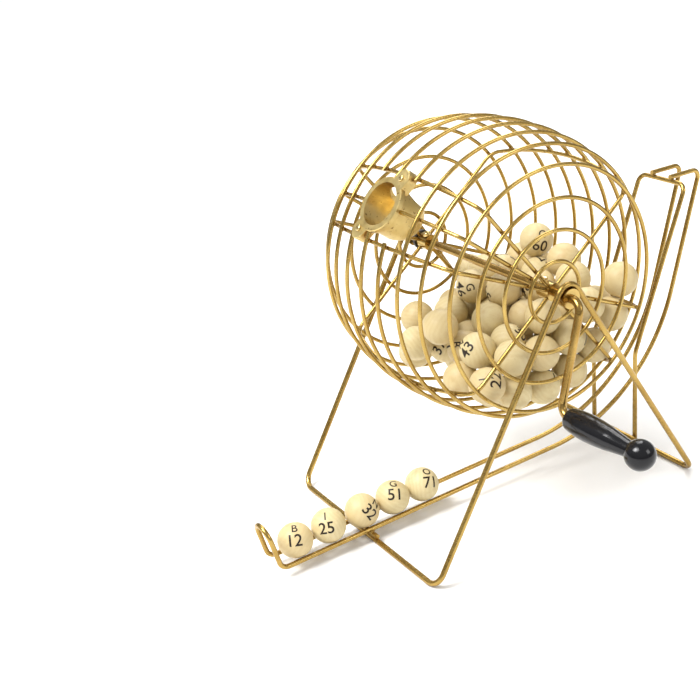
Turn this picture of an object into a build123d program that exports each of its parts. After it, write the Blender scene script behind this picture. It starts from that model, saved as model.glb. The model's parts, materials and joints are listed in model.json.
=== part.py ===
from build123d import *
import os
from math import asin, atan2, cos, degrees, pi, radians, sin, sqrt, tan

import numpy as np

# Bingo cage: a wire drum on a bent-wire stand, with a crank, a ball cup and a ball runway.
# Millimetres. X runs along the axle towards the crank, Y points to the back where the
# runway rises, Z is up. The model is laid out from the point on the table below the
# middle of the axle, and moved at the end to the middle of its own footprint.

# ---- Driving dimensions ------------------------------------------------------------

ball_d = 22.0
caged_ball_count = 65
called_ball_count = 5

axle_d = 5.0
axle_height = 153.5

# Drum
drum_wire_d = 2.5
drum_r = 89.0
hoop_count = 7
hoop_span = 101.0
end_hoop_drop = 7.0
face_x = 65.0
face_corner_r = 10.0
face_ring_count = 4
face_ring_step = 18.3
cross_rib_angle = 39.0

# Hub collars, their set screws and the axle's ends
hub_d = 11.0
hub_length = 10.5
hub_screw_d = 3.0
hub_screw_head_d = 5.2
hub_screw_head_h = 2.2
hub_screw_angle = 105.0
spacer_d = 13.0
spacer_t = 2.2
end_cap_d = 9.5
end_cap_t = 5.0

# Ball cup
cup_angle = 142.0
cup_mouth_d = 26.6
cup_flange_d = 34.0
cup_flange_t = 3.2
cup_wall = 1.8
cup_depth = 30.0
cup_mouth_r = 89.5
cup_window_clearance = 1.2
lug_width = 12.0
lug_reach = 25.5
lug_t = 3.4
lug_turn = 25.0
lug_screw_d = 2.4
lug_screw_head_d = 3.8
lug_screw_head_h = 1.2
cup_rib_spread = 14.2

# Stand
stand_wire_d = 3.6
stand_half_width = 79.2
stand_half_depth = 103.5
stand_corner_r = 9.0
bush_d = 12.0
bush_length = 6.0

# Crank and handle
crank_offset = 11.0
crank_bend_r = 7.0
crank_arm = 66.0
crank_lean = 15.0
handle_length = 66.0
handle_d = 16.0
handle_neck_d = 9.2
handle_ball_d = 17.6
tang_length = 50.0

# Runway
rail_wire_d = 3.2
rail_gauge = 17.0
run_slope = 1.5
run_front = -167.0
run_back = 43.0
chute_bend_r = 118.0
chute_slope = 73.0
chute_top_z = 171.0
chute_top_bend_r = 5.0
stop_bend_r = 6.0
stop_lean = 12.0
stop_height = 28.0
guard_width = 42.0
guard_top_y = 151.5
guard_corner_r = 6.0
guard_knee_z = 66.0
guard_knee_r = 15.0
tie_length = 29.0
called_ball_gaps = (1.3, 2.4, 0.8, 0.6)

# Clearances
axle_clearance = 0.05
rolling_gap = 0.2
sweep_gap = 0.3

# ---- Values worked out from them ---------------------------------------------------

hub_r = hub_d / 2
cup_r = cup_mouth_d / 2 + cup_wall
ball_r = ball_d / 2
rail_r = rail_wire_d / 2
bar_z = stand_wire_d / 2

# The drum's long ribs follow one large arc, and the hoops lie on the outside of it.
half_span = hoop_span / 2
hoop_arc_r = (half_span**2 + end_hoop_drop**2) / (2 * end_hoop_drop)
rib_arc_r = hoop_arc_r - drum_wire_d
arc_centre_r = drum_r - hoop_arc_r
corner_centre_x = face_x - face_corner_r
corner_centre_r = arc_centre_r + sqrt((rib_arc_r - face_corner_r) ** 2 - corner_centre_x**2)
rib_ratio = rib_arc_r / (rib_arc_r - face_corner_r)
corner_end_x = corner_centre_x * rib_ratio
corner_end_r = arc_centre_r + (corner_centre_r - arc_centre_r) * rib_ratio

axle_origin = Vector(0, 0, axle_height)
drum_axis = Axis((0, 0, axle_height), (1, 0, 0))
cup_bottom_n = cup_mouth_r - cup_depth
parting_n = cup_mouth_r - cup_flange_t

# Runway profile in the YZ plane
rail_z_at_bar = stand_wire_d + rail_wire_d + rail_r
slope = radians(run_slope)
steep = radians(chute_slope)


def rail_z(y):
    """Height of the straight run's centreline at y."""
    return rail_z_at_bar + (y + stand_half_depth) * tan(slope)


# ---- Helpers ------------------------------------------------------------------------


def hoop_radius(x):
    """Centreline radius of a hoop that lies on the outside of the long ribs at x."""
    return arc_centre_r + sqrt(hoop_arc_r**2 - x**2)


def about_axle(angle):
    """Plane through the axle: its x along the axle, its y outwards at the given angle."""
    turn = radians(angle)
    normal = Vector(0, -sin(turn), cos(turn))
    return Plane(origin=axle_origin, x_dir=(1, 0, 0), z_dir=normal)


def outward(angle):
    turn = radians(angle)
    return Vector(0, cos(turn), sin(turn))


def wire_along(path, diameter):
    """Round wire swept along a path."""
    section = Plane(origin=path @ 0, z_dir=path % 0) * Circle(diameter / 2)
    return sweep(section, path=path)


def ring(x, radius, diameter):
    """Closed wire ring round the axle."""
    return Plane(origin=(x, 0, axle_height), z_dir=(1, 0, 0)) * Torus(radius, diameter / 2)


def open_ring(x, radius, diameter, start_angle, sweep_angle):
    """Wire ring round the axle, open between its two ends."""
    section = about_axle(start_angle) * Pos(x, radius) * Circle(diameter / 2)
    return revolve(section, axis=drum_axis, revolution_arc=sweep_angle)


def along_x(x_start, length, diameter):
    """Cylinder round the axle from x_start."""
    return Plane(origin=(x_start, 0, axle_height), z_dir=(1, 0, 0)) * Cylinder(
        diameter / 2, length, align=(Align.CENTER, Align.CENTER, Align.MIN)
    )


def bent_wire(points, radii, diameter):
    """Wire through points, with each inner corner bent to its own radius."""
    return wire_along(FilletPolyline(*points, radius=radii), diameter)


# ---- Drum ---------------------------------------------------------------------------


def long_rib(angle, start=axle_d / 2):
    """One rib: out along a face, over the drum and back down the other face."""
    near_corner = (face_x, corner_centre_r)
    near_side = (corner_end_x, corner_end_r)
    turn = atan2(corner_end_x, corner_end_r - arc_centre_r)
    bend_angle = (pi / 2 - turn) / 2
    bend_x = corner_centre_x + face_corner_r * cos(bend_angle)
    bend_r = corner_centre_r + face_corner_r * sin(bend_angle)
    crown = (0, arc_centre_r + rib_arc_r)
    outline = [
        Line((face_x, start), near_corner),
        ThreePointArc(near_corner, (bend_x, bend_r), near_side),
        ThreePointArc(near_side, crown, (-corner_end_x, corner_end_r)),
        ThreePointArc((-corner_end_x, corner_end_r), (-bend_x, bend_r), (-face_x, corner_centre_r)),
        Line((-face_x, corner_centre_r), (-face_x, start)),
    ]
    path = about_axle(angle) * Wire([piece.edge() for piece in outline])
    rib = wire_along(path, drum_wire_d)
    return rib - hub_blank(1) - hub_blank(-1)


def hub_blank(side):
    """Outside of a hub collar, which reaches just past the ribs on its face."""
    outer_end = face_x + drum_wire_d
    start = outer_end - hub_length if side > 0 else -outer_end
    return along_x(start, hub_length, hub_d)


def hub(side):
    screw_hole = hub_screw_shank(side)
    return hub_blank(side) - along_x(-2 * face_x, 4 * face_x, axle_d) - screw_hole


def hub_screw_x(side):
    return side * (face_x + drum_wire_d - hub_length + hub_screw_head_d / 2 + 0.4)


def hub_screw_plane(side, distance):
    place = axle_origin + Vector(hub_screw_x(side), 0, 0) + outward(hub_screw_angle) * distance
    return Plane(origin=place, x_dir=(1, 0, 0), z_dir=outward(hub_screw_angle))


def hub_screw_shank(side):
    length = hub_r - axle_d / 2 + 0.4
    shank = hub_screw_plane(side, axle_d / 2) * Cylinder(
        hub_screw_d / 2, length, align=(Align.CENTER, Align.CENTER, Align.MIN)
    )
    return shank - along_x(-2 * face_x, 4 * face_x, axle_d)


def hub_screw(side):
    """Round-headed set screw: its tip bears on the axle and its head stands off the collar."""
    flat = hub_r + 0.1
    head = Cylinder(
        hub_screw_head_d / 2, hub_screw_head_h, align=(Align.CENTER, Align.CENTER, Align.MIN)
    )
    rim = head.edges().group_by(Axis.Z)[-1]
    head = fillet(rim, hub_screw_head_h * 0.6)
    slot = Pos(0, 0, hub_screw_head_h) * Box(hub_screw_head_d, 0.7, 1.4)
    return hub_screw_shank(side) + hub_screw_plane(side, flat) * (head - slot)


def face_ring(side, number):
    """Ring on the outside of a face. The outermost lies on the ribs' bent corner."""
    radius = face_ring_step * number
    x = face_x + drum_wire_d
    rise = radius - corner_centre_r
    if rise > 0:
        x = corner_centre_x + sqrt((face_corner_r + drum_wire_d) ** 2 - rise**2)
    return ring(side * x, radius, drum_wire_d)


def cup_plane(distance):
    """Plane square to the cup's axis: x along the axle, y along the hoops, z outwards."""
    place = axle_origin + outward(cup_angle) * distance
    return Plane(origin=place, x_dir=(1, 0, 0), z_dir=outward(cup_angle))


def cup_cylinder(diameter, low, high):
    return cup_plane(low) * Cylinder(
        diameter / 2, high - low, align=(Align.CENTER, Align.CENTER, Align.MIN)
    )


def lug_block(low, high):
    """Both lugs of one casting, rounded at their ends."""
    outline = SlotOverall(2 * lug_reach, lug_width, rotation=90 - lug_turn)
    return extrude(cup_plane(low) * outline, amount=high - low)


def cup_cavity():
    """Space inside the cup, round at the bottom."""
    inner_r = cup_mouth_d / 2
    centre_n = cup_bottom_n + cup_r
    tube = cup_cylinder(cup_mouth_d, centre_n, cup_mouth_r + 1)
    return tube + cup_plane(centre_n) * Sphere(inner_r)


def cup_side(sign):
    """Direction along the hoops, away from the cup's middle."""
    turn = radians(cup_angle)
    return Vector(0, -sin(turn), cos(turn)) * sign


def cup_ring():
    """Outer casting of the cup: the mouth's flange with the upper half of the lugs."""
    body = cup_cylinder(cup_flange_d, parting_n, cup_mouth_r) + lug_block(parting_n, cup_mouth_r)
    top = [e for e in body.edges() if all(cup_height(v) > cup_mouth_r - 0.01 for v in e.vertices())]
    body = chamfer(top, 0.5)
    return body - cup_cavity() - middle_hoop_blank() - lug_screws()


def cup_height(vertex):
    """Distance of a vertex from the axle along the cup's axis."""
    return (Vector(vertex.X, vertex.Y, vertex.Z) - axle_origin).dot(outward(cup_angle))


def cup_bowl():
    """Inner casting of the cup: a round-bottomed bowl with a side entry, and lower lugs."""
    centre_n = cup_bottom_n + cup_r
    bowl = cup_cylinder(2 * cup_r, centre_n, parting_n) + cup_plane(centre_n) * Sphere(cup_r)
    bowl += lug_block(parting_n - lug_t, parting_n)
    window_r = (ball_d + cup_window_clearance) / 2
    window_n = cup_bottom_n + cup_wall + window_r
    window_start = cup_plane(window_n).origin
    window = Plane(origin=window_start, x_dir=(1, 0, 0), z_dir=cup_side(-1)) * Cylinder(
        window_r, 2 * cup_r, align=(Align.CENTER, Align.CENTER, Align.MIN)
    )
    bowl -= cup_cavity()
    bowl -= window & cup_cylinder(2 * cup_r + 2, cup_bottom_n, parting_n - lug_t)
    for angle in cup_rib_angles:
        bowl -= ribs_by_angle[angle]
    return bowl - middle_hoop_blank() - lug_screws()


def middle_hoop_blank():
    """The middle hoop before the cup interrupts it."""
    return ring(0, drum_r, drum_wire_d)


def lug_screws():
    """Two screws that draw the castings together, one through each pair of lugs."""
    seat = lug_screw_head_d / 2 + cup_flange_d / 2 + 0.4
    screws = []
    for sign in (-1, 1):
        shank_low = parting_n - lug_t * 0.3
        shank = Cylinder(
            lug_screw_d / 2, cup_mouth_r - shank_low, align=(Align.CENTER, Align.CENTER, Align.MIN)
        )
        head = Cylinder(
            lug_screw_head_d / 2, lug_screw_head_h, align=(Align.CENTER, Align.CENTER, Align.MIN)
        )
        head = fillet(head.edges().group_by(Axis.Z)[-1], lug_screw_head_h * 0.6)
        slot = Pos(0, 0, lug_screw_head_h) * Box(lug_screw_head_d, 0.5, 0.8)
        place = Rot(0, 0, -lug_turn) * Pos(0, sign * seat)
        screw = cup_plane(shank_low) * place * shank + cup_plane(cup_mouth_r) * place * (head - slot)
        screws.append(screw)
    return Compound(screws)


# ---- Crank, handle and axle -----------------------------------------------------------

crank_x = stand_half_width + crank_offset
arm_direction = Vector(0, -sin(radians(crank_lean)), -cos(radians(crank_lean)))
handle_centre = axle_origin + Vector(crank_x, 0, 0) + arm_direction * crank_arm
handle_start_x = crank_x + crank_bend_r + 2 * sweep_gap
axle_far_x = -(stand_half_width + bush_length / 2 + end_cap_t)


def crank_axle():
    """The axle, bent down outside the stand into the crank arm and out into the handle's tang."""
    points = [
        axle_origin + Vector(axle_far_x, 0, 0),
        axle_origin + Vector(crank_x, 0, 0),
        handle_centre,
        handle_centre + Vector(crank_bend_r + tang_length, 0, 0),
    ]
    return bent_wire(points, crank_bend_r, axle_d)


def crank_handle():
    """Turned handle: a long swell, a neck and a ball end, bored for the tang."""
    ball_end_r = handle_ball_d / 2
    neck_r = handle_neck_d / 2
    ball_x = handle_length - ball_end_r
    neck_x = ball_x - sqrt(ball_end_r**2 - neck_r**2)
    swell_r = handle_d / 2
    swell = Spline(
        (0, swell_r * 0.62),
        (handle_length * 0.06, swell_r * 0.88),
        (handle_length * 0.27, swell_r),
        (handle_length * 0.5, swell_r * 0.86),
        (neck_x, neck_r),
        tangents=((0.35, 1), (1, -0.12)),
    )
    knob = ThreePointArc((neck_x, neck_r), (ball_x, ball_end_r), (handle_length, 0))
    outline = [Line((0, 0), (0, swell_r * 0.62)), swell, knob, Line((handle_length, 0), (0, 0))]
    turned = revolve(make_face(Wire([piece.edge() for piece in outline])), axis=Axis.X)
    bore = Plane.YZ * Cylinder(
        axle_d / 2 + axle_clearance, tang_length + 1, align=(Align.CENTER, Align.CENTER, Align.MIN)
    )
    place = Vector(handle_start_x, handle_centre.Y, handle_centre.Z)
    return Pos(place) * (turned - bore)


# ---- Stand ------------------------------------------------------------------------------

leg_bend_r = (bush_d + stand_wire_d) / 2


def leg_frame(side):
    """Inverted V of wire bent round its bush, with a foot bend into each base bar."""
    x = side * stand_half_width
    drop = axle_height - bar_z
    reach = sqrt(stand_half_depth**2 + drop**2)
    # Half-angle of the legs, which are tangent to the bend round the bush
    half_angle = atan2(stand_half_depth, drop) - asin(leg_bend_r / reach)
    apex_z = axle_height + leg_bend_r / sin(half_angle)
    bar_start = x - side * stand_corner_r * 2
    points = [
        (bar_start, -stand_half_depth, bar_z),
        (x, -stand_half_depth, bar_z),
        (x, 0, apex_z),
        (x, stand_half_depth, bar_z),
        (bar_start, stand_half_depth, bar_z),
    ]
    return bent_wire(points, [stand_corner_r, leg_bend_r, stand_corner_r], stand_wire_d)


def base_bar(sign):
    half = stand_half_width - stand_corner_r * 2
    return Plane(origin=(-half, sign * stand_half_depth, bar_z), z_dir=(1, 0, 0)) * Cylinder(
        stand_wire_d / 2, 2 * half, align=(Align.CENTER, Align.CENTER, Align.MIN)
    )


def bush(side):
    """Flanged bush that sits in the bend at the top of a leg frame."""
    start = side * stand_half_width - bush_length / 2
    return along_x(start, bush_length, bush_d) - along_x(
        start - 1, bush_length + 2, axle_d + 2 * axle_clearance
    )


def end_cap():
    """Pressed cap on the far end of the axle."""
    gap = 2 * sweep_gap
    length = end_cap_t - gap + 2
    start = -(stand_half_width + bush_length / 2) - gap - length
    cap = along_x(start, length, end_cap_d)
    cap = fillet(cap.edges().group_by(Axis.X)[0], 2)
    return cap - along_x(axle_far_x, 2 * length, axle_d)


def far_spacer():
    """Dark washer between the far hub and the stand."""
    start = -(face_x + drum_wire_d) - spacer_t
    return along_x(start, spacer_t, spacer_d) - along_x(start - 1, spacer_t + 2, axle_d)


# ---- Runway -------------------------------------------------------------------------------

half_gauge = rail_gauge / 2


def chute_profile():
    """Corner points of the rails' side view from the stop to the top, as (y, z)."""
    bend_start = (run_back, rail_z(run_back))
    reach = chute_bend_r * tan((steep - slope) / 2)
    corner = (bend_start[0] + reach * cos(slope), bend_start[1] + reach * sin(slope))
    rise = chute_top_z - corner[1]
    top = (corner[0] + rise / tan(steep), chute_top_z)
    return corner, top


def runway_rails():
    """One wire: down the back from the guard's bar, along to the front, and round the stop."""
    corner, top = chute_profile()
    end_y = guard_top_y - rail_r
    front = (run_front, rail_z(run_front))
    lean = radians(stop_lean)
    stop_y = run_front - stop_height * tan(lean)
    stop_z = rail_z(run_front) + stop_height
    top_corner_y = top[0] + (guard_bar_z + rail_wire_d - chute_top_z) / tan(steep)
    side_view = [
        (end_y, guard_bar_z + rail_wire_d),
        (top_corner_y, guard_bar_z + rail_wire_d),
        corner,
        front,
        (stop_y, stop_z),
    ]
    near = [(half_gauge, y, z) for y, z in side_view]
    far = [(-half_gauge, y, z) for y, z in reversed(side_view)]
    bends = [chute_top_bend_r, chute_bend_r, stop_bend_r]
    radii = bends + [half_gauge * 0.96] * 2 + bends[::-1]
    return bent_wire(near + far, radii, rail_wire_d)


guard_bar_z = chute_top_z + 3.0


def chute_guard():
    """U of wire that stands on the rear bar and leans back to carry the rails' top ends."""
    foot_y = stand_half_depth + (stand_wire_d + rail_wire_d) / 2
    half = guard_width / 2
    side_view = [(foot_y, rail_r / 2), (foot_y, guard_knee_z), (guard_top_y, guard_bar_z)]
    left = [(-half, y, z) for y, z in side_view]
    right = [(half, y, z) for y, z in reversed(side_view)]
    radii = [guard_knee_r, guard_corner_r, guard_corner_r, guard_knee_r]
    return bent_wire(left + right, radii, rail_wire_d)


def rail_tie():
    """Short cross wire between the front bar and the rails."""
    origin = (-tie_length / 2, -stand_half_depth, stand_wire_d + rail_r)
    return Plane(origin=origin, z_dir=(1, 0, 0)) * Cylinder(
        rail_r, tie_length, align=(Align.CENTER, Align.CENTER, Align.MIN)
    )


# ---- Balls ----------------------------------------------------------------------------------


def called_ball(number):
    """Ball on the runway, counted back from the stop."""
    seat = ball_r + rail_r + rolling_gap
    lift = sqrt(seat**2 - half_gauge**2)
    lean = radians(stop_lean)
    # The first ball touches the leaning stop a little above the rails.
    first = (ball_r + rail_r + rolling_gap + lift * sin(lean)) / cos(lean)
    along = first + (number - 1) * ball_d + sum(called_ball_gaps[: number - 1])
    y = run_front + along * cos(slope) - lift * sin(slope)
    z = rail_z(run_front) + along * sin(slope) + lift * cos(slope)
    return Pos(0, y, z) * Sphere(ball_r)


def side_limit(x):
    """Largest distance from the axle that a ball's centre may have at x."""
    space = rib_arc_r - drum_wire_d / 2 - ball_r - sweep_gap
    return arc_centre_r + np.sqrt(space**2 - x**2)


def push_clear(points, grown_r):
    """Move ball centres out of the drum's wire, the axle, the hubs and the cup's sweep."""
    end_limit = face_x - drum_wire_d / 2 - grown_r - sweep_gap
    points[:, 0] = np.clip(points[:, 0], -end_limit, end_limit)
    x = points[:, 0]
    r = np.maximum(np.hypot(points[:, 1], points[:, 2]), 1e-6)
    wanted = np.minimum(r, side_limit(x) - (grown_r - ball_r))
    # Rounded corners of the ribs between face and side
    over_x = np.abs(x) - corner_centre_x
    over_r = wanted - corner_centre_r
    inside = face_corner_r - drum_wire_d / 2 - grown_r
    core_r = np.where((over_x > inside) & (inside < 0), corner_centre_r + inside, wanted)
    wanted = np.where(over_x > 0, np.minimum(wanted, core_r), wanted)
    # The cup sweeps a band round the middle of the drum.
    cup_centre_r = cup_bottom_n + cup_r
    keep = cup_r + grown_r + sweep_gap
    depth = np.sqrt(np.maximum(keep**2 - x**2, 0))
    wanted = np.where(np.abs(x) < keep, np.minimum(wanted, cup_centre_r - depth), wanted)
    hub_reach = hub_r + hub_screw_head_h + grown_r + sweep_gap
    wanted = np.maximum(wanted, hub_reach)
    points[:, 1:] *= (wanted / r)[:, None]
    return points


def part_pairs(points, spacing):
    """Move every pair that is closer than the spacing apart by half of what is missing."""
    gaps = points[:, None, :] - points[None, :, :]
    distance = np.sqrt((gaps**2).sum(-1)) + np.eye(len(points)) * 1e6
    short = np.maximum(spacing - distance, 0)
    points += (gaps / distance[..., None] * short[..., None]).sum(1) * 0.5
    return short.max()


def settled_balls():
    """Ball centres of a heap that has fallen to the bottom of the drum, leaning to the back."""
    rng = np.random.default_rng(75)
    grown_r = ball_r + 0.06
    points = np.empty((caged_ball_count, 3))
    points[:, 0] = rng.uniform(-0.8, 0.8, caged_ball_count) * face_x
    turn = rng.uniform(radians(215), radians(345), caged_ball_count)
    reach = rng.uniform(0.35, 0.85, caged_ball_count) * drum_r
    points[:, 1] = reach * np.cos(turn)
    points[:, 2] = reach * np.sin(turn)
    heap_lean = radians(18)
    fall = np.array([0.10, sin(heap_lean), -cos(heap_lean)])
    steps = 1400
    for step in range(steps):
        points += fall * 0.35 * (1 - step / steps)
        for _ in range(4):
            part_pairs(points, 2 * grown_r)
            push_clear(points, grown_r)
    for _ in range(4000):
        worst = part_pairs(points, 2 * grown_r)
        push_clear(points, grown_r)
        if worst < 0.02:
            break
    return points


def caged_balls():
    centres = settled_balls()
    ball = Sphere(ball_r)
    return Compound([Pos(x, y, z + axle_height) * ball for x, y, z in centres.tolist()])


# ---- Build every sub-part ----------------------------------------------------------------------

parts = {}
cup_rib_angles = (cup_angle - cup_rib_spread, cup_angle + cup_rib_spread)
cross_angles = (cross_rib_angle, cross_rib_angle + 180)
rib_angles = cup_rib_angles + tuple(a + 180 for a in cup_rib_angles) + cross_angles
ribs_by_angle = {angle: long_rib(angle) for angle in rib_angles}
for index, angle in enumerate(rib_angles, start=1):
    parts[f"rib_{index}"] = ribs_by_angle[angle]

# The ribs that end at the cup start from the smallest face ring, not from the hub.
cut_rib = long_rib(cup_angle, face_ring_step - drum_wire_d) - cup_cylinder(cup_flange_d, 0, 2 * drum_r)
halves = sorted(cut_rib.solids(), key=lambda solid: solid.center().X)
parts["cup_rib_far"] = halves[0]
parts["cup_rib_near"] = halves[-1]

for number in range(1, hoop_count + 1):
    x = -half_span + (number - 1) * hoop_span / (hoop_count - 1)
    if abs(x) < 1:
        hoop = middle_hoop_blank() - cup_cylinder(cup_flange_d, 0, 2 * drum_r)
    elif abs(x) < cup_flange_d / 2 + drum_wire_d:
        overhang = degrees(drum_wire_d / drum_r)
        start = cup_angle + cup_rib_spread - overhang
        hoop = open_ring(x, hoop_radius(x), drum_wire_d, start, 360 - 2 * cup_rib_spread + 2 * overhang)
    else:
        hoop = ring(x, hoop_radius(x), drum_wire_d)
    parts[f"hoop_{number}"] = hoop

for side, end in ((-1, "far"), (1, "near")):
    for number in range(1, face_ring_count + 1):
        parts[f"{end}_ring_{number}"] = face_ring(side, number)
    parts[f"hub_{end}"] = hub(side)
    parts[f"hub_screw_{end}"] = hub_screw(side)
    parts[f"leg_frame_{end}"] = leg_frame(side)
    parts[f"bush_{end}"] = bush(side)

parts["cup_ring"] = cup_ring()
parts["cup_bowl"] = cup_bowl()
parts["cup_screws"] = lug_screws()
parts["crank_axle"] = crank_axle()
parts["axle_end_cap"] = end_cap()
parts["far_spacer"] = far_spacer()
parts["crank_handle"] = crank_handle()
parts["base_bar_front"] = base_bar(-1)
parts["base_bar_rear"] = base_bar(1)
parts["runway_rails"] = runway_rails()
parts["chute_guard"] = chute_guard()
parts["rail_tie"] = rail_tie()
for number in range(1, called_ball_count + 1):
    parts[f"called_ball_{number}"] = called_ball(number)
parts["caged_balls"] = caged_balls()

# ---- Move the origin to the middle of the footprint and write the files ---------------------------

box = Compound([Compound(part.solids()) for part in parts.values()]).bounding_box()
footprint_shift = Vector(-(box.min.X + box.max.X) / 2, -(box.min.Y + box.max.Y) / 2, -box.min.Z)

if __name__ == "__main__":
    os.makedirs("parts", exist_ok=True)
    for name, part in parts.items():
        export_step(Pos(footprint_shift) * Compound(part.solids()), f"parts/{name}.step")
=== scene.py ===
"""Looks of the bingo cage: brass wire, a cast cup, a lacquered handle and printed wooden balls."""

import json
import math

import bmesh
import bpy
import numpy as np
from mathutils import Matrix, Quaternion, Vector, noise
from mathutils.bvhtree import BVHTree


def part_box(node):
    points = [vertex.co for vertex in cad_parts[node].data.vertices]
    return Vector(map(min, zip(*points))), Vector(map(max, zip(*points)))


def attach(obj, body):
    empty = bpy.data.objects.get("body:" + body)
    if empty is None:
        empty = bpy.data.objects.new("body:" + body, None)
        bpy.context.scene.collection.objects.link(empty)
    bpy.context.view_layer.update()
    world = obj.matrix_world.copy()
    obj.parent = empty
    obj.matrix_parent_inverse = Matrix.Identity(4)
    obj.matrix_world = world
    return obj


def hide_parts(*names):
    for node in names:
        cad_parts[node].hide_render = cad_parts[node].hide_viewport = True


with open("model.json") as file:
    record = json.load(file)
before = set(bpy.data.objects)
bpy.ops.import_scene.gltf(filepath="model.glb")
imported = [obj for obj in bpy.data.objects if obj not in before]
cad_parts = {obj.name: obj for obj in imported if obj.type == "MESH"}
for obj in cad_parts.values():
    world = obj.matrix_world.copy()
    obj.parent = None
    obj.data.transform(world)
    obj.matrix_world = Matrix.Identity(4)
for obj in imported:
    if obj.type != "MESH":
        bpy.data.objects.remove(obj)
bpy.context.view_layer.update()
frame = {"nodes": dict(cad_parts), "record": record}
nodes = frame["nodes"]

MM = 0.001


def middle(node):
    low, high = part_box(node)
    return (low + high) / 2


# ---- Places and sizes read from the frame ---------------------------------------------

axle_middle = (middle("near_ring_1") + middle("far_ring_1")) / 2
ball_low, ball_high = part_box("called_ball_1")
ball_r = (ball_high.x - ball_low.x) / 2
wire_low, wire_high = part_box("hoop_4")
wire_r = (wire_high.x - wire_low.x) / 2

# ---- Camera ---------------------------------------------------------------------------

# Metres from the middle of the axle, degrees and millimetres of focal length
camera_from_axle = Vector((0.5484, -0.3964, 0.2445))
view_azimuth = 58.0
view_elevation = 25.35
view_roll = -4.87
camera_lens = 59.5
camera_shift = (-0.1, 0.043)


def direction(azimuth, elevation):
    """Unit vector towards a viewer. Azimuth 0 looks along +Y and 90 along -X."""
    a, e = math.radians(azimuth), math.radians(elevation)
    return Vector((math.sin(a) * math.cos(e), -math.cos(a) * math.cos(e), math.sin(e)))


def make_camera():
    data = bpy.data.cameras.new("camera")
    data.lens = camera_lens
    data.shift_x, data.shift_y = camera_shift
    camera = bpy.data.objects.new("camera", data)
    camera.location = axle_middle + camera_from_axle
    camera.rotation_mode = "QUATERNION"
    level = (-direction(view_azimuth, view_elevation)).to_track_quat("-Z", "Y")
    camera.rotation_quaternion = level @ Quaternion((0, 0, 1), math.radians(view_roll))
    bpy.context.scene.collection.objects.link(camera)
    bpy.context.scene.camera = camera
    bpy.context.view_layer.update()
    return camera


# ---- Materials ------------------------------------------------------------------------


class Finish:
    """A material with one Principled shader, and short calls that build its node tree."""

    crevice_samples = 6

    def __init__(self, name, **sockets):
        self.material = bpy.data.materials.new(name)
        self.material.use_nodes = True
        self.tree = self.material.node_tree
        self.shader = self.tree.nodes["Principled BSDF"]
        for socket, value in sockets.items():
            self.shader.inputs[socket.replace("_", " ")].default_value = value

    def node(self, kind, inputs=None, **settings):
        made = self.tree.nodes.new("ShaderNode" + kind)
        for key, value in settings.items():
            setattr(made, key, value)
        for key, value in (inputs or {}).items():
            self.feed(made.inputs[key], value)
        return made

    def feed(self, socket, value):
        """Link an output socket, or set a plain value."""
        if isinstance(value, bpy.types.NodeSocket):
            self.tree.links.new(value, socket)
        else:
            socket.default_value = value

    def coordinates(self, attribute=None):
        if attribute:
            return self.node("Attribute", attribute_name=attribute).outputs["Vector"]
        return self.node("TexCoord").outputs["Object"]

    def stretched(self, place, scale):
        return self.node("Mapping", {"Vector": place, "Scale": scale}).outputs["Vector"]

    def noise(self, place, scale, detail=2.0, roughness=0.5):
        inputs = {"Vector": place, "Scale": scale, "Detail": detail, "Roughness": roughness}
        return self.node("TexNoise", inputs).outputs["Fac"]

    def ranged(self, value, low, high, to_low=0.0, to_high=1.0):
        inputs = {
            "Value": value,
            "From Min": low,
            "From Max": high,
            "To Min": to_low,
            "To Max": to_high,
        }
        return self.node("MapRange", inputs).outputs["Result"]

    def mixed(self, factor, first, second):
        made = self.node("Mix", data_type="RGBA")
        self.feed(made.inputs[0], factor)
        self.feed(made.inputs[6], first)
        self.feed(made.inputs[7], second)
        return made.outputs[2]

    def times(self, first, second):
        return self.node("Math", {0: first, 1: second}, operation="MULTIPLY").outputs[0]

    def crevices(self, distance):
        """1 in the open, and less where other surfaces come near."""
        inputs = {"Distance": distance}
        made = self.node("AmbientOcclusion", inputs, samples=self.crevice_samples)
        return made.outputs["AO"]

    def colour(self, value):
        self.feed(self.shader.inputs["Base Color"], value)

    def roughness(self, value):
        self.feed(self.shader.inputs["Roughness"], value)

    def bump(self, height, depth, strength=1.0):
        inputs = {"Height": height, "Distance": depth, "Strength": strength}
        self.feed(self.shader.inputs["Normal"], self.node("Bump", inputs).outputs["Normal"])


def rgb(red, green, blue):
    return (red, green, blue, 1.0)


# Pale tone, deep tone, roughness from and to, grain scale and depth, reach of the tarnish and
# painted shade in the crevices
brasses = {
    "drum_wire": ((0.54, 0.375, 0.115), (0.40, 0.26, 0.07), (0.2, 0.3), 2400, 0.003 * MM, 6 * MM),
    "stand_wire": ((0.50, 0.34, 0.10), (0.36, 0.225, 0.06), (0.22, 0.32), 2200, 0.003 * MM, 6 * MM),
    "axle_rod": ((0.50, 0.33, 0.10), (0.35, 0.21, 0.055), (0.2, 0.3), 2200, 0.003 * MM, 8 * MM),
    "turned_brass": ((0.66, 0.49, 0.18), (0.48, 0.32, 0.1), (0.16, 0.26), 3000, 0.002 * MM, 4 * MM),
    "screw_brass": ((0.88, 0.72, 0.36), (0.76, 0.58, 0.24), (0.12, 0.2), 3000, 0.002 * MM, 2 * MM),
    "weld": ((0.46, 0.31, 0.095), (0.30, 0.185, 0.05), (0.28, 0.42), 1500, 0.01 * MM, 3 * MM),
}
mottle_shade = 0.7
speck_brown = rgb(0.13, 0.07, 0.02)
# Brown laid into the crevices of the brass: partly tarnish at the joints, partly painted shade
tarnish_and_shade_brown = rgb(0.20, 0.105, 0.03)

cast_pale = rgb(0.70, 0.55, 0.24)
cast_deep = rgb(0.58, 0.43, 0.16)
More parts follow.
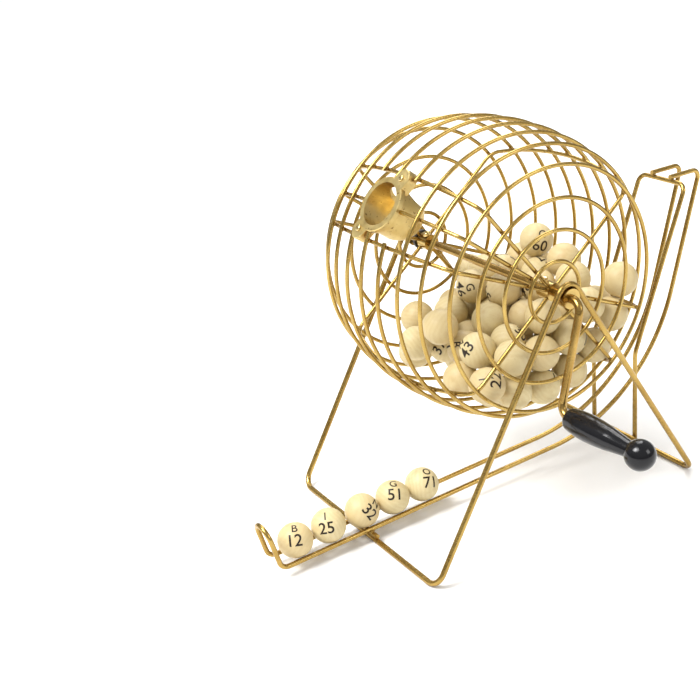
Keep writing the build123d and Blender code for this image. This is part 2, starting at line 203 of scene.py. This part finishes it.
# Painted shade for the deep inside of the bowl
cast_hollow_shade = rgb(0.44, 0.17, 0.03)
cast_pit = rgb(0.24, 0.13, 0.04)
cast_hollow_shade_reach = 11 * MM
cast_skin_depth = 0.12 * MM

lacquer_black = rgb(0.003, 0.003, 0.004)
lacquer_grey = rgb(0.008, 0.008, 0.010)
lacquer_turning_depth = 0.03 * MM

# Partly the black of the plastic, partly painted shade for the dark gaps by the hubs and crank rod
plastic_and_gap_shade_black = rgb(0.012, 0.010, 0.009)
plastic_brown = rgb(0.035, 0.028, 0.022)
plastic_grain_depth = 0.03 * MM

wood_pale = rgb(0.73, 0.63, 0.37)
wood_warm = rgb(0.62, 0.51, 0.26)
wood_ring = rgb(0.56, 0.42, 0.21)
wood_pore = rgb(0.45, 0.32, 0.15)
wood_dark_ball = rgb(0.60, 0.44, 0.21)
wood_stain = rgb(0.50, 0.33, 0.14)
wood_ring_share = 0.28
wood_tint_share = 0.5
wood_fibre_depth = 0.04 * MM

ink_dark = rgb(0.018, 0.011, 0.008)
ink_worn = rgb(0.12, 0.075, 0.04)
ink_depth = 0.02 * MM


def brass(name, pale, deep, polish, grain_scale, grain_depth, tarnish_and_shade_reach):
    """Satin brass: uneven tone, tarnish and painted shade in the crevices, small specks and a fine
    drawn grain.
    """
    finish = Finish(name, Metallic=1.0)
    place = finish.coordinates()
    tone = finish.ranged(finish.noise(place, scale=38, detail=3), 0.35, 0.65)
    mottle = finish.ranged(finish.noise(place, scale=160, detail=2), 0.3, 0.7, to_high=0.25)
    base = finish.mixed(tone, rgb(*pale), rgb(*deep))
    base = finish.mixed(mottle, base, rgb(*(mottle_shade * c for c in deep)))
    dots = finish.noise(place, scale=620, detail=3, roughness=0.6)
    base = finish.mixed(finish.ranged(dots, 0.70, 0.76, to_high=0.8), base, speck_brown)
    # Darker brown where other surfaces come near: partly tarnish at the joints, partly painted
    # shade
    open_share = finish.crevices(tarnish_and_shade_reach)
    tarnish_and_shade = finish.ranged(open_share, 0.25, 0.85, to_low=0.75, to_high=0.0)
    finish.colour(finish.mixed(tarnish_and_shade, base, tarnish_and_shade_brown))
    wear = finish.noise(place, scale=300, detail=4, roughness=0.65)
    finish.roughness(finish.ranged(wear, 0.3, 0.7, *polish))
    grain = finish.noise(place, scale=grain_scale, detail=3, roughness=0.6)
    finish.bump(grain, grain_depth)
    return finish.material


def cast_brass(name):
    """Sand-cast brass: a pebbled skin with pits, and painted shade that browns the colour where the
    bowl is deep.
    """
    finish = Finish(name, Metallic=1.0)
    place = finish.coordinates()
    tone = finish.ranged(finish.noise(place, scale=90, detail=4), 0.35, 0.65)
    base = finish.mixed(tone, cast_pale, cast_deep)
    # Painted shade: the colour turns brown where the bowl's own walls close in.
    open_share = finish.crevices(cast_hollow_shade_reach)
    bowl_shade = finish.ranged(open_share, 0.25, 0.75, to_low=0.9, to_high=0.0)
    base = finish.mixed(bowl_shade, base, cast_hollow_shade)
    pits = finish.ranged(finish.noise(place, scale=520, detail=3, roughness=0.6), 0.62, 0.7)
    finish.colour(finish.mixed(pits, base, cast_pit))
    wear = finish.noise(place, scale=240, detail=4)
    finish.roughness(finish.ranged(wear, 0.3, 0.7, to_low=0.3, to_high=0.48))
    skin = finish.noise(place, scale=330, detail=4, roughness=0.6)
    finish.bump(skin, cast_skin_depth, strength=0.7)
    return finish.material


def black_lacquer(name):
    """Black gloss lacquer over turned wood, a little wavy, with faint scuffs."""
    finish = Finish(name, Specular_IOR_Level=0.35)
    place = finish.coordinates()
    tone = finish.noise(place, scale=60, detail=3)
    finish.colour(finish.mixed(tone, lacquer_black, lacquer_grey))
    along = finish.stretched(place, (120, 900, 900))
    scuffs = finish.noise(along, scale=1.0, detail=4, roughness=0.7)
    finish.roughness(finish.ranged(scuffs, 0.45, 0.75, to_low=0.12, to_high=0.26))
    around = finish.stretched(place, (900, 40, 40))
    turning = finish.noise(around, scale=1.0, detail=2)
    finish.bump(turning, lacquer_turning_depth, strength=0.5)
    return finish.material


def black_plastic(name):
    """Dull black plastic with a fine grain. On the spacer and bushes its black is partly the
    plastic's own colour and partly painted shade for the dark gaps by the hubs and crank rod.
    """
    finish = Finish(name)
    place = finish.coordinates()
    tone = finish.noise(place, scale=300, detail=3)
    finish.colour(finish.mixed(tone, plastic_and_gap_shade_black, plastic_brown))
    wear = finish.noise(place, scale=500, detail=2)
    finish.roughness(finish.ranged(wear, 0.3, 0.7, to_low=0.35, to_high=0.55))
    finish.bump(finish.noise(place, scale=1500, detail=2), plastic_grain_depth)
    return finish.material


def pale_wood(name):
    """Fine-grained hardwood. Each ball brings its own grain coordinates and its own tint."""
    finish = Finish(name, Specular_IOR_Level=0.4)
    place = finish.coordinates("grain")
    wander = finish.noise(place, scale=55, detail=3)
    rings = finish.node(
        "TexWave",
        {"Vector": place, "Scale": 120.0, "Distortion": 5.0, "Detail": 3.0, "Detail Scale": 0.8},
    ).outputs["Fac"]
    base = finish.mixed(wander, wood_pale, wood_warm)
    base = finish.mixed(finish.times(rings, wood_ring_share), base, wood_ring)
    along = finish.stretched(place, (2600, 2600, 220))
    fibres = finish.noise(along, scale=1.0, detail=3, roughness=0.6)
    base = finish.mixed(finish.ranged(fibres, 0.58, 0.72, to_high=0.55), base, wood_pore)
    tint = finish.node("Attribute", attribute_name="tint").outputs["Fac"]
    base = finish.mixed(finish.times(tint, wood_tint_share), base, wood_dark_ball)
    patches = finish.noise(place, scale=120, detail=2)
    stain = finish.ranged(patches, 0.6, 0.75, to_high=0.45)
    finish.colour(finish.mixed(stain, base, wood_stain))
    finish.roughness(finish.ranged(fibres, 0.3, 0.7, to_low=0.38, to_high=0.56))
    finish.bump(fibres, wood_fibre_depth, strength=0.6)
    return finish.material


def printing_ink(name):
    """Dark brown ink pressed into the wood, thin in places."""
    finish = Finish(name, Specular_IOR_Level=0.3)
    place = finish.coordinates("grain")
    thin = finish.noise(place, scale=1300, detail=3, roughness=0.6)
    wear = finish.ranged(thin, 0.5, 0.75, to_high=0.5)
    finish.colour(finish.mixed(wear, ink_dark, ink_worn))
    finish.roughness(finish.ranged(wear, 0.0, 1.0, to_low=0.42, to_high=0.7))
    finish.bump(finish.noise(place, scale=2200, detail=2), ink_depth)
    return finish.material


def make_finishes():
    finishes = {name: brass(name, *values) for name, values in brasses.items()}
    finishes["cast_brass"] = cast_brass("cast_brass")
    # Black on the spacer and bushes: partly the plastic's own colour, partly painted shade for the
    # dark gaps by the hubs and crank rod.
    finishes["black_spacer"] = black_plastic("black_spacer")
    finishes["black_handle"] = black_lacquer("black_handle")
    finishes["pale_wood"] = pale_wood("pale_wood")
    finishes["ink"] = printing_ink("ink")
    return finishes


def dress_nodes(finishes):
    """Every CAD node takes the finish of the slot that the record gives it."""
    for part in frame["record"]["subparts"]:
        node = nodes[part["node"]]
        node.data.materials.clear()
        node.data.materials.append(finishes[part["material_slot"]])


# ---- Meshes ---------------------------------------------------------------------------


def add_object(name, points, faces, body):
    mesh = bpy.data.meshes.new(name)
    mesh.from_pydata(points, [], faces)
    mesh.update()
    made = bpy.data.objects.new(name, mesh)
    bpy.context.scene.collection.objects.link(made)
    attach(made, body)
    return made


def unit_sphere(subdivisions):
    """Points and triangles of an even sphere."""
    shape = bmesh.new()
    bmesh.ops.create_icosphere(shape, subdivisions=subdivisions, radius=1.0)
    points = np.array([v.co for v in shape.verts])
    faces = np.array([[v.index for v in f.verts] for f in shape.faces])
    shape.free()
    return points, faces


# ---- Balls ----------------------------------------------------------------------------

number_height = 7.4 * MM
letter_height = 5.4 * MM
letter_above = 7.8 * MM
ink_proud = 0.06 * MM
ink_sunk = 0.12 * MM
stroke_gain = 0.012
longest_edge = 0.7 * MM
text_half_thickness = 0.1
text_curve_steps = 5
text_merge = 1e-5
text_cut_merge = 1e-6
ball_subdivisions = 5
pole_share = 0.988
letters = "BINGO"
numbers_per_letter = 15
ball_seed = 15
# Numbers called before, whose balls lie on the board and not in the cage
left_on_board = {14, 28, 40, 58, 72}

# Letter, number, then how far its middle faces right and up, in ball radii, and its turn
called = (
    ("B", 12, 0.02, -0.02, 2),
    ("I", 25, -0.13, -0.14, 6),
    ("N", 32, 0.46, -0.14, -52),
    ("G", 51, 0.11, 0.15, 2),
    ("O", 71, 0.47, 0.08, 4),
)

text_cache = {}


def flat_text(text, height):
    """Text as a thin closed solid: points whose z is -1 inside and +1 outside, and triangles."""
    if (text, height) in text_cache:
        return text_cache[text, height]
    curve = bpy.data.curves.new("text", "FONT")
    curve.body = text
    curve.align_x = "CENTER"
    curve.extrude = text_half_thickness
    curve.offset = stroke_gain
    curve.resolution_u = text_curve_steps
    holder = bpy.data.objects.new("text", curve)
    mesh = bpy.data.meshes.new_from_object(holder)
    shape = bmesh.new()
    shape.from_mesh(mesh)
    bpy.data.objects.remove(holder)
    bpy.data.curves.remove(curve)
    bpy.data.meshes.remove(mesh)
    bmesh.ops.remove_doubles(shape, verts=shape.verts, dist=text_merge)
    tall = max(v.co.y for v in shape.verts) - min(v.co.y for v in shape.verts)
    scale = height / tall
    # Cut into small cells, so that the label can bend round the ball.
    for axis in (Vector((1, 0, 0)), Vector((0, 1, 0))):
        spread = [v.co.dot(axis) for v in shape.verts]
        start, length = min(spread), max(spread) - min(spread)
        cells = math.ceil(length * scale / longest_edge)
        for cut in range(1, cells):
            bmesh.ops.bisect_plane(
                shape,
                geom=shape.verts[:] + shape.edges[:] + shape.faces[:],
                plane_co=axis * (start + length * cut / cells),
                plane_no=axis,
                dist=text_cut_merge,
            )
    bmesh.ops.triangulate(shape, faces=shape.faces)
    shape.verts.index_update()
    points = np.array([v.co for v in shape.verts])
    faces = np.array([[v.index for v in f.verts] for f in shape.faces])
    shape.free()
    centre = (points.max(0) + points.min(0)) / 2
    points = (points - centre) * scale
    points[:, 2] = np.sign(points[:, 2])
    text_cache[text, height] = points, faces
    return points, faces


def wrapped(points, lift):
    """Bend a flat label round the ball. The label's own x is right, y is up, z is outwards."""
    flat = points[:, :2] + [0, lift]
    reach = np.hypot(flat[:, 0], flat[:, 1])
    turn = reach / ball_r
    along = flat / np.maximum(reach, 1e-9)[:, None] * np.sin(turn)[:, None]
    radius = np.where(points[:, 2] > 0, ball_r + ink_proud, ball_r - ink_sunk)
    return np.column_stack([along, np.cos(turn)]) * radius[:, None]


def ball_parts(letter, number):
    """One printed ball in its own axes: points, triangles and which triangles are ink."""
    sphere, sphere_faces = unit_sphere(ball_subdivisions)
    # The lathe leaves a small flat at each pole.
    sphere[:, 1] = np.clip(sphere[:, 1], -pole_share, pole_share)
    points, faces, ink = [sphere * ball_r], [sphere_faces], [np.zeros(len(sphere_faces), bool)]
    offset = len(sphere)
    labels = ((str(number), number_height, 0), (letter, letter_height, letter_above))
    for text, height, lift in labels:
        label, label_faces = flat_text(text, height)
        points.append(wrapped(label, lift))
        faces.append(label_faces + offset)
        ink.append(np.ones(len(label_faces), bool))
        offset += len(label)
    return np.vstack(points), np.vstack(faces), np.concatenate(ink)


def ball_group(name, balls, body, finishes, rng):
    """One object of printed balls. Each ball is (letter, number, centre, 3x3 turn)."""
    points, faces, ink, grain, tint = [], [], [], [], []
    offset = 0
    for letter, number, centre, turn in balls:
        own, own_faces, own_ink = ball_parts(letter, number)
        points.append(own @ np.array(turn).T + np.array(centre))
        faces.append(own_faces + offset)
        ink.append(own_ink)
        # The grain runs at its own angle to the print.
        lean = random_turn(rng)
        grain.append(own @ lean.T + rng.uniform(-0.5, 0.5, 3))
        tint.append(np.full(len(own), rng.uniform(0, 1)))
        offset += len(own)
    made = add_object(name, np.vstack(points), np.vstack(faces).tolist(), body)
    mesh = made.data
    ink = np.concatenate(ink)
    mesh.materials.append(finishes["pale_wood"])
    mesh.materials.append(finishes["ink"])
    mesh.polygons.foreach_set("material_index", ink.astype(np.int32))
    mesh.polygons.foreach_set("use_smooth", ~ink)
    grain_layer = mesh.attributes.new("grain", "FLOAT_VECTOR", "POINT")
    grain_layer.data.foreach_set("vector", np.vstack(grain).astype(np.float32).ravel())
    tint_layer = mesh.attributes.new("tint", "FLOAT", "POINT")
    tint_layer.data.foreach_set("value", np.concatenate(tint).astype(np.float32))
    return made


def random_turn(rng):
    """Even random rotation as a 3x3 matrix."""
    quaternion = Quaternion(rng.normal(size=4).tolist()).normalized()
    return np.array(quaternion.to_matrix())


def facing_turn(centre, camera, right_share, up_share, turn):
    """Rotation that puts a label's middle at a place on the ball as the camera sees it."""
    towards = (camera.location - centre).normalized()
    right = Vector((0, 0, 1)).cross(towards).normalized()
    up = towards.cross(right)
    depth = math.sqrt(1 - right_share**2 - up_share**2)
    outwards = right * right_share + up * up_share + towards * depth
    label_up = Quaternion(towards, math.radians(turn + view_roll)) @ up
    label_up = (label_up - outwards * label_up.dot(outwards)).normalized()
    label_right = label_up.cross(outwards)
    return Matrix((label_right, label_up, outwards)).transposed()


def island_centres(node):
    """Middle of each separate solid in a node's mesh."""
    mesh = nodes[node].data
    points = np.array([v.co for v in mesh.vertices])
    mesh.calc_loop_triangles()
    triangles = np.array([t.vertices for t in mesh.loop_triangles])
    label = np.arange(len(points))
    while True:
        lowest = label[triangles].min(1)
        before = label.copy()
        for corner in range(3):
            np.minimum.at(label, triangles[:, corner], lowest)
        if (label == before).all():
            break
    centres = []
    for island in np.unique(label[triangles[:, 0]]):
        own = points[label == island]
        centres.append((own.min(0) + own.max(0)) / 2)
    return centres


def make_balls(finishes, camera):
    rng = np.random.default_rng(ball_seed)
    for index, (letter, number, right, up, turn) in enumerate(called, start=1):
        node = f"called_ball_{index}"
        centre = middle(node)
        facing = facing_turn(centre, camera, right, up, turn)
        name = f"called_{letter}_{number}"
        balls = [(letter, number, centre, facing)]
        ball = ball_group(name, balls, "called_balls", finishes, rng)
        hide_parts(node)
    taken = left_on_board | {number for _, number, *_ in called}
    numbers = [n for n in range(1, len(letters) * numbers_per_letter + 1) if n not in taken]
    centres = island_centres("caged_balls")
    shuffled = rng.permutation(numbers).tolist()
    caged = {letter: [] for letter in letters}
    for number, centre in zip(shuffled, centres):
        letter = letters[(number - 1) // numbers_per_letter]
        caged[letter].append((letter, number, centre, random_turn(rng)))
    for letter, balls in caged.items():
        group = ball_group(f"caged_balls_{letter}", balls, "stand", finishes, rng)
        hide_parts("caged_balls")


# ---- Welds ----------------------------------------------------------------------------

rib_names = [f"rib_{i}" for i in range(1, 7)] + ["cup_rib_far", "cup_rib_near"]
hoop_names = [f"hoop_{i}" for i in range(1, 8)]
ring_names = [f"{end}_ring_{i}" for end in ("far", "near") for i in range(1, 5)]

drum_bead_r = 1.35 * MM
stand_bead_r = 1.7 * MM
bead_subdivisions = 3
bead_flatness = 0.72
bead_swell = 0.16
bead_lumps = 1.7
bead_step = 3.1
# Greatest gap at a weld, in wire radii, to the wire across it and to the ring itself
across_reach = 1.3
ring_reach = 1.1


def surface(node):
    mesh = nodes[node].data
    return BVHTree.FromPolygons([v.co for v in mesh.vertices], [p.vertices for p in mesh.polygons])


def around_axle(x, radius, angle):
    y = axle_middle.y + radius * math.cos(angle)
    z = axle_middle.z + radius * math.sin(angle)
    return Vector((x, y, z))


def rib_angle(node):
    """Angle about the axle of the plane that a rib lies in."""
    points = np.array([v.co for v in nodes[node].data.vertices])
    rise = points[:, 2].mean() - axle_middle.z
    return math.atan2(rise, points[:, 1].mean() - axle_middle.y)


def drum_welds():
    """Every place where a rib touches a hoop or a face ring, with the way out through the ring."""
    ribs = {name: (surface(name), rib_angle(name)) for name in rib_names}
    places = []
    for ring in hoop_names + ring_names:
        low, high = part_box(ring)
        own = surface(ring)
        radius = axle_middle.z - low.z - wire_r
        for rib, angle in ribs.values():
            point = around_axle((low.x + high.x) / 2, radius, angle)
            touch, _, _, gap = rib.find_nearest(point)
            own_gap = own.find_nearest(point)[3]
            if gap < across_reach * wire_r and own_gap < ring_reach * wire_r:
                places.append((touch, point - touch))
    return places


def stand_welds():
    """Where the guard meets the rear bar and the rails, and the tie meets the bar and the rails."""
    guard_low, guard_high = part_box("chute_guard")
    rail_low, rail_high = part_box("runway_rails")
    tie_low, tie_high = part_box("rail_tie")
    rod_r = (tie_high.z - tie_low.z) / 2
    rails = surface("runway_rails")
    rear = surface("base_bar_rear")
    front = surface("base_bar_front")
    bar_z = middle("base_bar_rear").z
    tie_y = middle("rail_tie").y
    tie_z = middle("rail_tie").z
    places = []
    for sign in (-1, 1):
        guard_x = middle("chute_guard").x + sign * ((guard_high.x - guard_low.x) / 2 - rod_r)
        rail_x = middle("runway_rails").x + sign * ((rail_high.x - rail_low.x) / 2 - rod_r)
        at_tie = Vector((rail_x, tie_y, tie_z))
        tries = (
            (Vector((guard_x, guard_low.y + rod_r, bar_z)), rear),
            (Vector((rail_x, guard_high.y - rod_r, guard_high.z - rod_r)), rails),
            (at_tie, rails),
            (at_tie, front),
        )
        for point, other in tries:
            touch, _, _, gap = other.find_nearest(point)
            if gap < across_reach * rod_r:
                places.append((touch, point - touch))
    return places


def weld_beads(name, places, radius, body, finishes):
    """Small uneven beads, flattened between the two wires that they join."""
    sphere, faces = unit_sphere(bead_subdivisions)
    points, triangles = [], []
    for index, (place, way) in enumerate(places):
        across = way.to_track_quat("Z", "Y").to_matrix()
        for unit in sphere:
            lump = Vector(unit) * bead_lumps + Vector((index * bead_step, 0, 0))
            swell = 1 + bead_swell * noise.noise(lump)
            own = Vector((unit[0], unit[1], unit[2] * bead_flatness)) * (radius * swell)
            points.append(place + across @ own)
        triangles.extend((faces + index * len(sphere)).tolist())
    made = add_object(name, points, triangles, body)
    made.data.materials.append(finishes["weld"])
    made.data.polygons.foreach_set("use_smooth", [True] * len(made.data.polygons))
    return made


# ---- Floor and light ------------------------------------------------------------------


floor_half = 6.0
floor_white = rgb(0.95, 0.95, 0.945)
floor_cream = rgb(0.93, 0.93, 0.925)
horizon_grey = rgb(0.50, 0.49, 0.48)
surround_white = rgb(1.0, 1.0, 1.0)
white_from = 0.5
surround_strength = 0.6

# Azimuth from the viewer, elevation, angle of the disc (rad) and power (W/m2)
sun_light = (-60, 60, 0.5, 1.8)
# Name, azimuth from the viewer, elevation, distance and size (m), power (W)
softboxes = (
    ("key", -70, 52, 2.0, 0.8, 30),
    ("fill", 60, 30, 2.4, 0.9, 12),
    ("back", 170, 48, 2.4, 1.2, 28),
)


def make_floor():
    half = floor_half
    corners = [(-half, -half, 0), (half, -half, 0), (half, half, 0), (-half, half, 0)]
    mesh = bpy.data.meshes.new("floor")
    mesh.from_pydata(corners, [], [(0, 1, 2, 3)])
    floor = bpy.data.objects.new("floor", mesh)
    bpy.context.scene.collection.objects.link(floor)
    finish = Finish("floor", Roughness=0.65)
    tone = finish.noise(finish.coordinates(), scale=3, detail=2)
    finish.colour(finish.mixed(tone, floor_white, floor_cream))
    mesh.materials.append(finish.material)


def softbox(name, azimuth, elevation, distance, size, power):
    """Square soft light that looks at the middle of the drum."""
    data = bpy.data.lights.new(name, "AREA")
    data.shape = "SQUARE"
    data.size = size
    data.energy = power
    light = bpy.data.objects.new(name, data)
    way = direction(azimuth, elevation)
    light.location = axle_middle + way * distance
    light.rotation_mode = "QUATERNION"
    light.rotation_quaternion = (-way).to_track_quat("-Z", "Y")
    bpy.context.scene.collection.objects.link(light)


def wide_sun(name, azimuth, elevation, spread, power):
    """Distant light with a wide disc, which brightens the floor far from the cage."""
    data = bpy.data.lights.new(name, "SUN")
    data.angle = spread
    data.energy = power
    light = bpy.data.objects.new(name, data)
    light.rotation_mode = "QUATERNION"
    light.rotation_quaternion = (-direction(azimuth, elevation)).to_track_quat("-Z", "Y")
    bpy.context.scene.collection.objects.link(light)


def make_world():
    """Soft studio surround, pale above and greyer towards the horizon."""
    world = bpy.data.worlds.new("studio")
    bpy.context.scene.world = world
    world.use_nodes = True
    tree = world.node_tree
    place = tree.nodes.new("ShaderNodeTexCoord")
    parts = tree.nodes.new("ShaderNodeSeparateXYZ")
    ramp = tree.nodes.new("ShaderNodeValToRGB")
    ramp.color_ramp.elements[0].position = 0.0
    ramp.color_ramp.elements[0].color = horizon_grey
    ramp.color_ramp.elements[1].position = white_from
    ramp.color_ramp.elements[1].color = surround_white
    tree.links.new(place.outputs["Generated"], parts.inputs[0])
    tree.links.new(parts.outputs["Z"], ramp.inputs["Fac"])
    tree.links.new(ramp.outputs["Color"], tree.nodes["Background"].inputs["Color"])
    tree.nodes["Background"].inputs["Strength"].default_value = surround_strength


def make_lights():
    azimuth, *rest = sun_light
    wide_sun("sun", view_azimuth + azimuth, *rest)
    for name, azimuth, *rest in softboxes:
        softbox(name, view_azimuth + azimuth, *rest)


# ---- Make everything ------------------------------------------------------------------

camera = make_camera()
finishes = make_finishes()
dress_nodes(finishes)
make_balls(finishes, camera)
weld_beads("drum_welds", drum_welds(), drum_bead_r, "drum", finishes)
weld_beads("stand_welds", stand_welds(), stand_bead_r, "stand", finishes)
make_floor()
make_world()
make_lights()

bpy.context.scene.view_settings.view_transform = "Standard"
